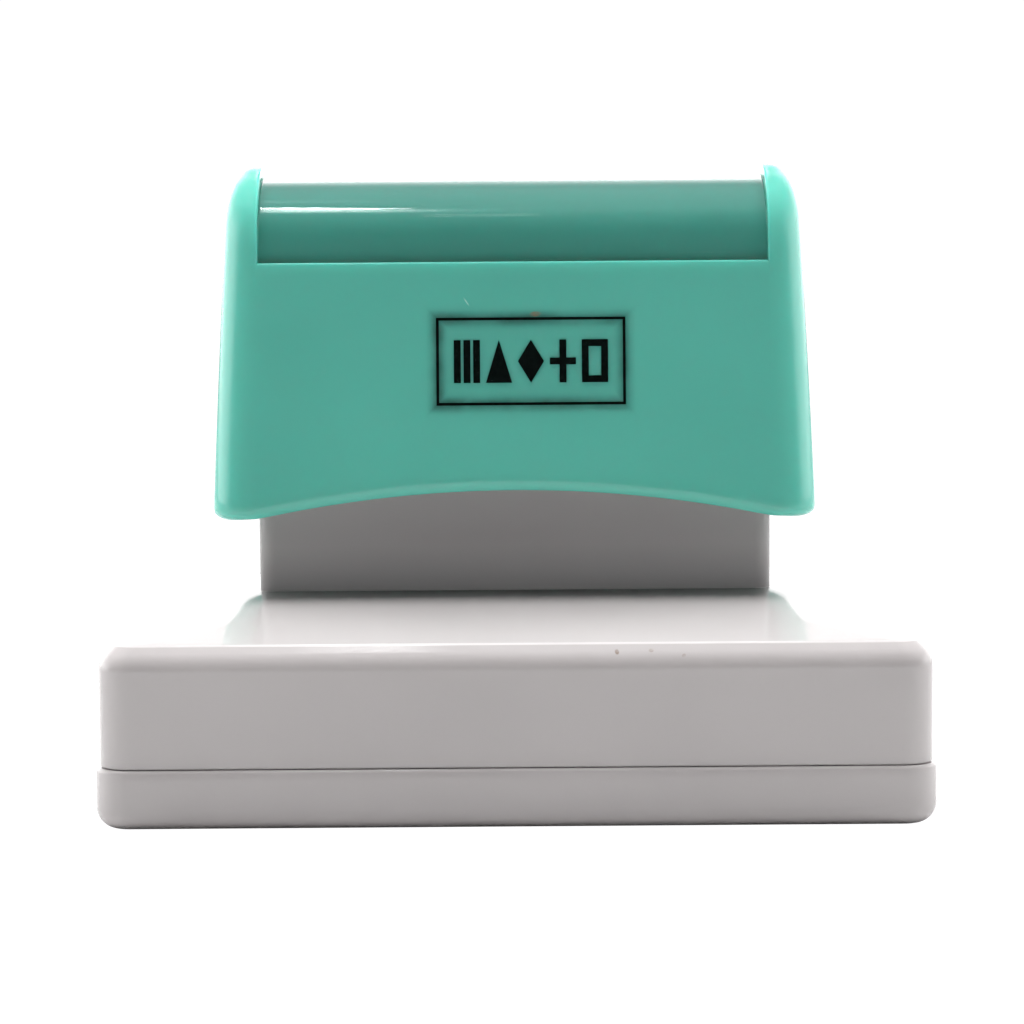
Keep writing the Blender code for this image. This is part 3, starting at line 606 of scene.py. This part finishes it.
def make_handle(material):
    """The handle's skin: down its inside, round its rim, up its outside and over the recess."""
    columns = [RECESS_HALF_X * i / 26 for i in range(26)]
    top = HANDLE_HIGH.z
    bottom = HANDLE_LOW.z + RIM_FILLET
    levels = [bottom + (LEDGE_Z - EDGE - bottom) * i / 24 for i in range(25)]
    plain = [(half_depth(z), z) for z in levels]
    rows = []
    for angle in arc(90, 0, 12):
        point = dome_point(angle, INNER_DOME_HALF, INNER_DOME_Z, INNER_TOP_Z)
        rows.append(inner_row(point, columns))
    for z in reversed(levels[:18]):
        rows.append(inner_row((half_depth(z) - HANDLE_WALL, z), columns))
    for angle in arc(180, 0, 10):
        inset = HANDLE_WALL / 2 - HANDLE_WALL / 2 * math.cos(angle)
        drop = RIM_FILLET * math.sin(angle) ** 0.8 if 0 < math.sin(angle) else 0.0
        rows.append(rim_row(inset, bottom, drop, columns))
    rows += [handle_row(point, point, 0.0, columns) for point in plain[1:]]

    depth = half_depth(LEDGE_Z)
    for inset, drop in ((EDGE * 0.3, EDGE * 0.3), (EDGE, 0.0), (RECESS_SIDE_INSET, 0.0)):
        outer = (half_depth(LEDGE_Z - drop), LEDGE_Z - drop)
        rows.append(handle_row(outer, (depth - inset, LEDGE_Z - drop), 1.0, columns))
    for angle in arc(0, 90, 26):
        outer = dome_point(angle, HALF_DEPTH, DOME_Z, top)
        floor = dome_point(angle, HALF_DEPTH - RECESS_SIDE_INSET, DOME_Z, top - RECESS_TOP_INSET)
        rows.append(handle_row(outer, floor, 1.0, columns))
    bm = skin(rows, capped=False)
    piece(bm, "handle_skin", "handle", material, "handle_shell")


def rim_row(inset, z, drop, columns):
    """A row of the rounded lower rim, between the inside and the outside."""
    outside = handle_row((half_depth(z), z), (half_depth(z), z), 0.0, columns)
    inside = inner_row((half_depth(z) - HANDLE_WALL, z), columns)
    share = inset / HANDLE_WALL
    return [
        tuple(a + (b - a) * share - down for a, b, down in zip(p, q, (0.0, 0.0, drop)))
        for p, q in zip(outside, inside)
    ]


# Window


def window_outline(inset):
    """The window's section as (y, z), over the top from front to back, inset into the sheet."""
    half = HALF_DEPTH - WINDOW_SIDE_INSET - inset
    top = HANDLE_HIGH.z - WINDOW_TOP_INSET - inset
    bottom = LEDGE_Z + WINDOW_GAP
    dome = [dome_point(angle, half, DOME_Z, top) for angle in arc(0, 90, 30)]
    front = [(-half, bottom)] + [(-y, z) for y, z in dome]
    return front + [(-y, z) for y, z in reversed(front[:-1])]


def make_window(material):
    """A bent clear sheet whose edges are slightly rounded."""
    outer, inner = window_outline(0.0), window_outline(WINDOW_THICKNESS)
    section = outer + inner[::-1]
    middle = [((a + c) / 2, (b + d) / 2) for (a, b), (c, d) in zip(outer, inner)]
    spine = middle + middle[::-1]
    end_x = RECESS_HALF_X - WINDOW_GAP
    flat_x = end_x - WINDOW_EDGE_ROUND
    steps = 12
    stations = [(-end_x, WINDOW_EDGE_ROUND), (-end_x + 0.05, 0.04), (-flat_x, 0.0), (-flat_x + HOLD, 0.0)]
    stations += [(-flat_x + 2 * flat_x * i / steps, 0.0) for i in range(1, steps)]
    stations += [(flat_x - HOLD, 0.0), (flat_x, 0.0), (end_x - 0.05, 0.04), (end_x, WINDOW_EDGE_ROUND)]
    rows = []
    for x, tuck in stations:
        share = tuck / (WINDOW_THICKNESS / 2)
        rows.append([
            (x, y + (spine_y - y) * share, z + (spine_z - z) * share)
            for (y, z), (spine_y, spine_z) in zip(section, spine)
        ])
    piece(skin(rows), "window_cover", "window", material, "label_window")


# Marking film and its print


def on_front(x, z, proud):
    """A point on the handle's front, standing proud of it."""
    return (x, -half_depth(z) - proud, z)


def plate(outline, low, high):
    """A thin plate on the handle's front with that (x, z) outline, from low to high above the surface."""
    bm = bmesh.new()
    back = [bm.verts.new(Vector(on_front(x, z, low)) * MM) for x, z in outline]
    front = [bm.verts.new(Vector(on_front(x, z, high)) * MM) for x, z in outline]
    bm.faces.new(front)
    bm.faces.new(back[::-1])
    for i in range(len(outline)):
        j = (i + 1) % len(outline)
        bm.faces.new((back[i], back[j], front[j], front[i]))
    return bm


def join(meshes):
    """Several meshes as one."""
    result = bmesh.new()
    for bm in meshes:
        temporary = bpy.data.meshes.new("part")
        bm.to_mesh(temporary)
        bm.free()
        result.from_mesh(temporary)
        bpy.data.meshes.remove(temporary)
    return result


def rectangle(x, z, half_x, half_z):
    left, right, low, high = x - half_x, x + half_x, z - half_z, z + half_z
    return [(left, low), (right, low), (right, high), (left, high)]


def make_film(film_material, ink_material):
    centre_x, centre_z = FILM_CENTRE.x, FILM_CENTRE.z
    half_x, half_z = (FILM_HIGH.x - FILM_LOW.x) / 2, (FILM_HIGH.z - FILM_LOW.z) / 2
    outline = []
    for sign_x, sign_z, start in ((1, 1, 0), (-1, 1, 90), (-1, -1, 180), (1, -1, 270)):
        for angle in arc(start, start + 90, 5):
            x = centre_x + sign_x * (half_x - FILM_CORNER) + FILM_CORNER * math.cos(angle)
            z = centre_z + sign_z * (half_z - FILM_CORNER) + FILM_CORNER * math.sin(angle)
            outline.append((x, z))
    sheet = plate(outline, FILM_UNDERSIDE, FILM_FACE)
    piece(sheet, "film_sheet", "handle", film_material, "marking_film")
    line = OUTLINE_HALF_WIDTH
    shapes = []
    for sign in (-1, 1):
        shapes.append(rectangle(centre_x, centre_z + sign * OUTLINE_HALF_Z, OUTLINE_HALF_X + line, line))
        shapes.append(rectangle(centre_x + sign * OUTLINE_HALF_X, centre_z, line, OUTLINE_HALF_Z - line))
    shapes += mark_outlines(centre_x, centre_z)
    print_mesh = join([plate(shape, FILM_FACE, INK_FACE) for shape in shapes])
    piece(print_mesh, "film_print", "handle", ink_material)


def mark_outlines(centre_x, centre_z):
    """Five plain signs in a row: bars, a triangle, a diamond, a cross and a square."""
    bars_x, triangle_x, diamond_x, cross_x, square_x = (centre_x + (i - 2) * SIGN_PITCH for i in range(5))
    half, tall, thin = SIGN_WIDTH / 2, SIGN_HEIGHT / 2, SIGN_STROKE / 2
    low, high = centre_z - tall, centre_z + tall
    shapes = [rectangle(bars_x + k * (half - thin), centre_z, thin, tall) for k in (-1, 0, 1)]
    shapes.append([(triangle_x - half, low), (triangle_x + half, low), (triangle_x, high)])
    left, right = diamond_x - half, diamond_x + half
    shapes.append([(left, centre_z), (diamond_x, low), (right, centre_z), (diamond_x, high)])
    shapes.append(rectangle(cross_x, centre_z, half, thin))
    for sign in (-1, 1):
        shapes.append(rectangle(cross_x, centre_z + sign * (tall + thin) / 2, thin, (tall - thin) / 2))
    for sign in (-1, 1):
        shapes.append(rectangle(square_x + sign * (half - thin), centre_z, thin, tall))
        shapes.append(rectangle(square_x, centre_z + sign * (tall - thin), half - 2 * thin, thin))
    return shapes


# Inside


def make_springs(material):
    """Four coils, which in the real stamp the handle squashes as it comes down; here each is built at rest in
    its CAD box.
    """
    for index in range(1, 5):
        node = f"return_spring_{index}"
        low, high = box_mm(node)
        centre = (low + high) / 2
        radius = (high.x - low.x) / 2 - WIRE_RADIUS
        floor = low.z + WIRE_RADIUS
        height = high.z - low.z - 2 * WIRE_RADIUS
        end_pitch = 2.4 * WIRE_RADIUS
        middle = (height - 2 * end_pitch) / (SPRING_TURNS - 2)
        rows = []
        for i in range(SPRING_TURNS * COIL_STEPS + 1):
            turn = i / COIL_STEPS
            z = floor + end_pitch * (min(turn, 1.0) + max(turn - SPRING_TURNS + 1, 0.0))
            z += middle * min(max(turn - 1.0, 0.0), SPRING_TURNS - 2)
            around = 2 * math.pi * turn
            out = Vector((math.cos(around), math.sin(around), 0))
            spot = Vector((centre.x, centre.y, z)) + out * radius
            rows.append([
                spot + WIRE_RADIUS * (out * math.cos(a) + Vector((0, 0, 1)) * math.sin(a))
                for a in (2 * math.pi * k / WIRE_SIDES for k in range(WIRE_SIDES))
            ])
        spring = piece(skin(rows), f"spring_coil_{index}", "frame", material, node)
        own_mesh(spring)


def make_print_foam(material):
    """The print foam, with a slightly rounded face."""
    half_x, half_y = FOAM_HIGH.x, FOAM_HIGH.y
    rows = []
    for angle in arc(0, 90, 6):
        inset = FOAM_FACE_ROUND * (1 - math.sin(angle))
        z = FOAM_LOW.z + FOAM_FACE_ROUND * (1 - math.cos(angle))
        rows.append(ring(half_x - inset, half_y - inset, FOAM_CORNER - inset, z))
    for angle in arc(0, 90, 3):
        inset = FOAM_BACK_ROUND * (1 - math.cos(angle))
        z = FOAM_HIGH.z - FOAM_BACK_ROUND * (1 - math.sin(angle))
        rows.append(ring(half_x - inset, half_y - inset, FOAM_CORNER - inset, z))
    pad = piece(skin(rows), "print_pad", "handle", material, "print_foam")


def paint_cad_nodes(materials):
    """Gives the CAD nodes that stay their materials."""
    for node in ("plunger_core", "mount_plate", "pad_tray"):
        paint(node, materials["inner"])
    for side in ("left", "right"):
        paint(f"handle_screw_{side}", materials["steel"])
    for index in range(1, 5):
        paint(f"mount_screw_{index}", materials["steel"])
    paint("ink_foam", materials["ink_foam"])


def paint(node, material):
    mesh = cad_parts[node].data
    mesh.materials.clear()
    mesh.materials.append(material)


# Stage


def plain_stage():
    """A white floor and a white room. The room lights the stamp from low down at its sides and behind
    it, a little more from the left, and its front and roof are almost dark, as in an open light tent."""
    n = Nodes("white_floor")
    n.set(Base_Color=rgb((0.1, 0.1, 0.1)), Roughness=0.9, Specular_IOR_Level=0.0)
    n.set(Emission_Color=rgb((1, 1, 1)), Emission_Strength=FLOOR_SEEN)
    matt = n.add("ShaderNodeBsdfDiffuse", {"Color": rgb((FLOOR_ALBEDO,) * 3)})
    seen = n.add("ShaderNodeLightPath").outputs["Is Camera Ray"]
    n.plug(n.output.inputs["Surface"], n.add("ShaderNodeMixShader", {0: seen, 1: matt, 2: n.shader}))
    bpy.ops.mesh.primitive_plane_add(size=6.0, location=(0, 0, -0.0001))
    floor = bpy.context.object
    floor.name = "floor"
    floor.data.materials.append(n.material)

    world = bpy.data.worlds.new("white_room")
    world.use_nodes = True
    nodes, links = world.node_tree.nodes, world.node_tree.links
    background = nodes["Background"]
    background.inputs["Color"].default_value = (1, 1, 1, 1)
    direction = nodes.new("ShaderNodeTexCoord").outputs["Generated"]
    split = nodes.new("ShaderNodeSeparateXYZ")
    links.new(direction, split.inputs[0])

    def ramp(source, low, high, to_low, to_high):
        node = nodes.new("ShaderNodeMapRange")
        node.interpolation_type = "SMOOTHSTEP"
        for socket, value in zip(("From Min", "From Max", "To Min", "To Max"), (low, high, to_low, to_high)):
            node.inputs[socket].default_value = value
        links.new(source, node.inputs["Value"])
        return node.outputs[0]

    def combine(operation, a, b):
        node = nodes.new("ShaderNodeMath")
        node.operation = operation
        for socket, value in zip(node.inputs, (a, b)):
            if isinstance(value, float):
                socket.default_value = value
            else:
                links.new(value, socket)
        return node.outputs[0]

    around = ramp(split.outputs["Y"], -0.4, 0.1, ROOM_FRONT, ROOM_WALLS)
    height = ramp(split.outputs["Z"], 0.2, 0.7, 1.0, 0.1)
    roof = ramp(split.outputs["Z"], 0.65, 0.95, 0.0, ROOM_ROOF)
    side = ramp(split.outputs["X"], -1.0, 1.0, 1.08, 0.88)
    lit = combine("ADD", combine("MULTIPLY", combine("MULTIPLY", around, height), side), roof)
    seen = nodes.new("ShaderNodeLightPath").outputs["Is Camera Ray"]
    hidden = combine("SUBTRACT", 1.0, seen)
    strength = combine("ADD", combine("MULTIPLY", lit, hidden), combine("MULTIPLY", seen, ROOM_SEEN))
    links.new(strength, background.inputs["Strength"])
    bpy.context.scene.world = world


def lamp(name, place, size, power, reflected=True):
    """A rectangular lamp, in metres and watts, that faces the stamp. One that isn't reflected still
    lights it, but never shows in its gloss or through its window."""
    data = bpy.data.lights.new(name, "AREA")
    data.shape = "RECTANGLE"
    data.size, data.size_y = size
    data.energy = power
    obj = bpy.data.objects.new(name, data)
    obj.location = place
    obj.rotation_euler = (Vector(place) - Vector(LAMP_TARGET)).to_track_quat("Z", "Y").to_euler()
    obj.visible_glossy = obj.visible_transmission = reflected
    bpy.context.scene.collection.objects.link(obj)


def light():
    """A wide soft box overhead, and two short strips for the streaks of light on the window."""
    lamp("soft_box", (0, 0.1, 1.0), (1.4, 0.6), 21.5, reflected=False)
    lamp("strip_left", (-0.103, -0.08, 1.56), (0.115, 0.05), 0.72)
    lamp("strip_right", (-0.015, -0.487, 1.56), (0.06, 0.03), 0.02)


def make_camera():
    data = bpy.data.cameras.new("camera")
    data.lens = CAMERA_LENS
    data.sensor_width = 36.0
    data.clip_start, data.clip_end = 0.01, 20.0
    camera = bpy.data.objects.new("camera", data)
    tilt = Matrix.Rotation(math.radians(90 - CAMERA_TILT), 4, "X")
    roll = Matrix.Rotation(math.radians(CAMERA_ROLL), 4, "Z")
    camera.matrix_world = Matrix.Translation(Vector(CAMERA_PLACE) * MM) @ tilt @ roll
    bpy.context.scene.collection.objects.link(camera)
    bpy.context.scene.camera = camera


def main():
    bpy.context.scene.view_settings.view_transform = "Standard"
    grey = moulded_plastic("light_grey_abs", (0.535, 0.505, 0.505), (0.20, 0.15, 0.12), frame_specks_and_painted_light, 0.07)
    green = moulded_plastic(
        "mint_green_abs", (0.136, 0.56, 0.46), (0.03, 0.12, 0.10), handle_wear, 0.12,
        subsurface=0.6, scatter=(0.3, 1.0, 0.9),
    )
    materials = {
        "inner": inner_plastic(),
        "steel": zinc_steel(),
        "print_foam": foam("print_foam", (0.62, 0.60, 0.60), (0.30, 0.30, 0.36), 1400.0),
        "ink_foam": foam("ink_foam", (0.05, 0.06, 0.12), (0.02, 0.025, 0.06), 900.0),
    }
    make_dust_cap(grey)
    make_frame(grey)
    make_handle(green)
    make_window(clear_plastic())
    make_film(label_film(), print_ink())
    make_springs(materials["steel"])
    make_print_foam(materials["print_foam"])
    paint_cad_nodes(materials)
    plain_stage()
    light()
    make_camera()


main()
